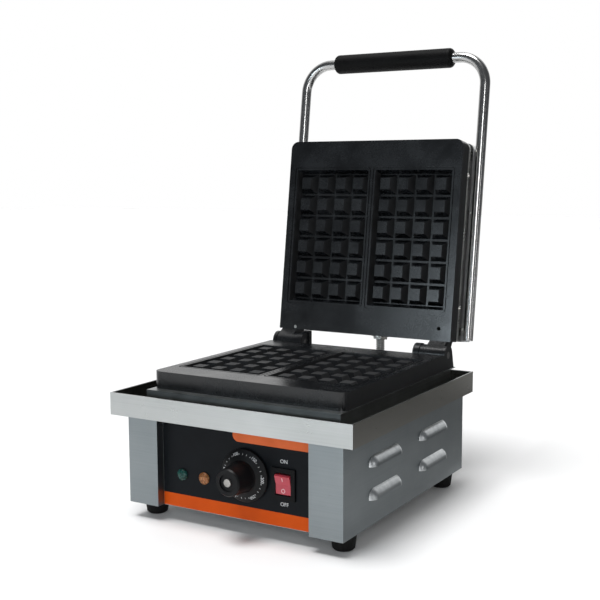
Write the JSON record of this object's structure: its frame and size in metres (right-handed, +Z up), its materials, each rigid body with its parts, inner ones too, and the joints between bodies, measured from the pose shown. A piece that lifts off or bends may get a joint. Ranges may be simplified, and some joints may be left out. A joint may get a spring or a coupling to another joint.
{
  "type": "waffle maker",
  "caption": "Twin waffle maker with a sheet steel base, drip tray, dial, lamps and rocker switch, cast grid plates and a hinged lid with a tubular handle.",
  "frame": {"origin": "centre of the bounding box of the whole object with its lid open, at the floor", "axes": "+X to the right as seen from the controls, +Y from the controls to the hinge, +Z up"},
  "size_m": [0.28, 0.3934, 0.4975],
  "materials": {
    "sheet_steel": "brushed stainless sheet",
    "lid_steel": "brushed stainless sheet",
    "foot_rubber": "moulded rubber",
    "zinc_screws": "zinc plated",
    "pin_steel": "turned steel",
    "label_film": "printed film with orange bands",
    "coated_casting": "cast, with a dark non-stick coating",
    "heater_sheath": "heat-darkened sheath",
    "clamp_steel": "plain sheet",
    "mineral_wool": "fibre blanket",
    "copper": "drawn copper",
    "black_gloss": "moulded",
    "cap_metal": "plated ring with a slot",
    "green_lens": "domed lens",
    "amber_lens": "domed lens",
    "pale_plastic": "moulded",
    "red_rocker": "translucent",
    "black_matte": "satin",
    "nut_metal": "nickel plated",
    "hose_steel": "wound metal hose",
    "handle_chrome": "polished"
  },
  "bodies": {
    "base": {"base_plate": "sheet_steel", "feet": "foot_rubber", "foot_screws": "zinc_screws", "left_panel": "sheet_steel", "right_panel": "sheet_steel", "rear_panel": "sheet_steel", "front_panel": "sheet_steel", "control_label": "label_film", "panel_screws": "zinc_screws", "drip_tray": "sheet_steel", "element_box": "sheet_steel", "lower_plate": "coated_casting", "lower_element": "heater_sheath", "lower_clamp": "clamp_steel", "lower_insulation": "mineral_wool", "plate_screws": "zinc_screws", "hinge_pins": "pin_steel", "thermostat": "clamp_steel", "thermostat_bulb": "copper", "green_lamp": "green_lens", "amber_lamp": "amber_lens", "lamp_holders": "pale_plastic", "switch_housing": "black_gloss", "terminal_block": "pale_plastic", "cord_gland": "black_matte", "base_conduit_nut": "nut_metal", "wire_conduit": "hose_steel"},
    "lid": {"upper_plate": "coated_casting", "upper_element": "heater_sheath", "heat_shield": "lid_steel", "shield_screws": "zinc_screws", "pin_set_screw": "zinc_screws", "upper_insulation": "mineral_wool", "cover_spacers": "lid_steel", "lid_cover": "lid_steel", "cover_screws": "zinc_screws", "handle_tube": "handle_chrome", "handle_grip": "black_matte", "handle_screws": "zinc_screws", "lid_conduit_nut": "nut_metal"},
    "dial": {"dial_knob": "black_gloss", "knob_cap": "cap_metal", "thermostat_shaft": "pin_steel"},
    "rocker": {"switch_rocker": "red_rocker"}
  },
  "joints": [
    {"name": "lid_hinge", "type": "hinge", "parent": "base", "child": "lid", "pos_m": [0, 0.0973, 0.148], "axis": [1, 0, 0], "range_deg": [0, 98]},
    {"name": "dial_turn", "type": "hinge", "parent": "base", "child": "dial", "pos_m": [0.0125, -0.1637, 0.0617], "axis": [0, 1, 0], "range_deg": [0, 270]},
    {"name": "rocker_tilt", "type": "hinge", "parent": "base", "child": "rocker", "pos_m": [0.056, -0.1622, 0.059], "axis": [-1, 0, 0], "range_deg": [0, 20]}
  ]
}
